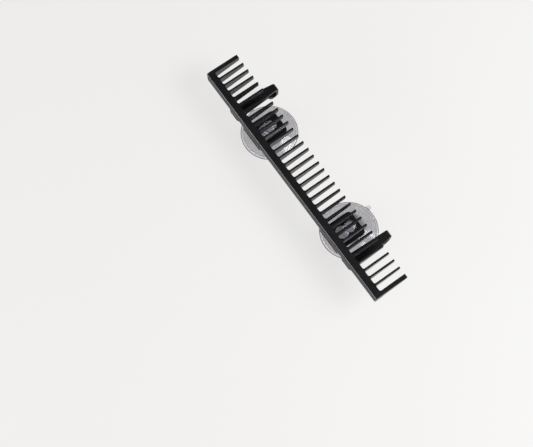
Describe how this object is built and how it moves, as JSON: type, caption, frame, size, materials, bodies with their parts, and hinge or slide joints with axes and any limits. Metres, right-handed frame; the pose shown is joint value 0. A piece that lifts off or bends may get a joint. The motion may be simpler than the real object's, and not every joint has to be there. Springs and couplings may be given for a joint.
{
  "type": "hair extension holder comb",
  "caption": "Comb-shaped rack that holds hair sections in its slots, with hook arms and clear suction cups on the back.",
  "frame": {"origin": "centre of the footprint, at the plane of the suction cup rims", "axes": "+X along the spine, +Y from the spine to the tips of the teeth, +Z from the cups to the front face of the comb"},
  "size_m": [0.285, 0.0672, 0.04],
  "materials": {
    "rack_plastic": "satin black moulded plastic with a soft gloss",
    "clear_vinyl": "soft clear vinyl with a faint grey-violet tint"
  },
  "bodies": {
    "rack": {"comb_spine": "rack_plastic", "tooth_01": "rack_plastic", "tooth_02": "rack_plastic", "tooth_03": "rack_plastic", "tooth_04": "rack_plastic", "tooth_05": "rack_plastic", "tooth_06": "rack_plastic", "tooth_07": "rack_plastic", "tooth_08": "rack_plastic", "tooth_09": "rack_plastic", "tooth_10": "rack_plastic", "tooth_11": "rack_plastic", "tooth_12": "rack_plastic", "tooth_13": "rack_plastic", "tooth_14": "rack_plastic", "tooth_15": "rack_plastic", "tooth_16": "rack_plastic", "tooth_17": "rack_plastic", "tooth_18": "rack_plastic", "tooth_19": "rack_plastic", "tooth_20": "rack_plastic", "tooth_21": "rack_plastic", "tooth_22": "rack_plastic", "tooth_23": "rack_plastic", "tooth_24": "rack_plastic", "tooth_25": "rack_plastic", "tooth_26": "rack_plastic", "tooth_27": "rack_plastic", "tooth_28": "rack_plastic", "tooth_29": "rack_plastic", "tooth_30": "rack_plastic", "tooth_31": "rack_plastic", "tooth_32": "rack_plastic", "tooth_33": "rack_plastic", "hook_arm_left": "rack_plastic", "hook_arm_right": "rack_plastic", "bracket_left": "rack_plastic", "bracket_right": "rack_plastic"},
    "cup_left": {"suction_cup_left": "clear_vinyl"},
    "cup_right": {"suction_cup_right": "clear_vinyl"}
  },
  "joints": [
    {"name": "cup_left_slide", "type": "slide", "parent": "rack", "child": "cup_left", "axis": [0, 1, 0], "range_m": [-0.0053, 0.0042]},
    {"name": "cup_right_slide", "type": "slide", "parent": "rack", "child": "cup_right", "axis": [0, 1, 0], "range_m": [-0.0095, 0]}
  ]
}
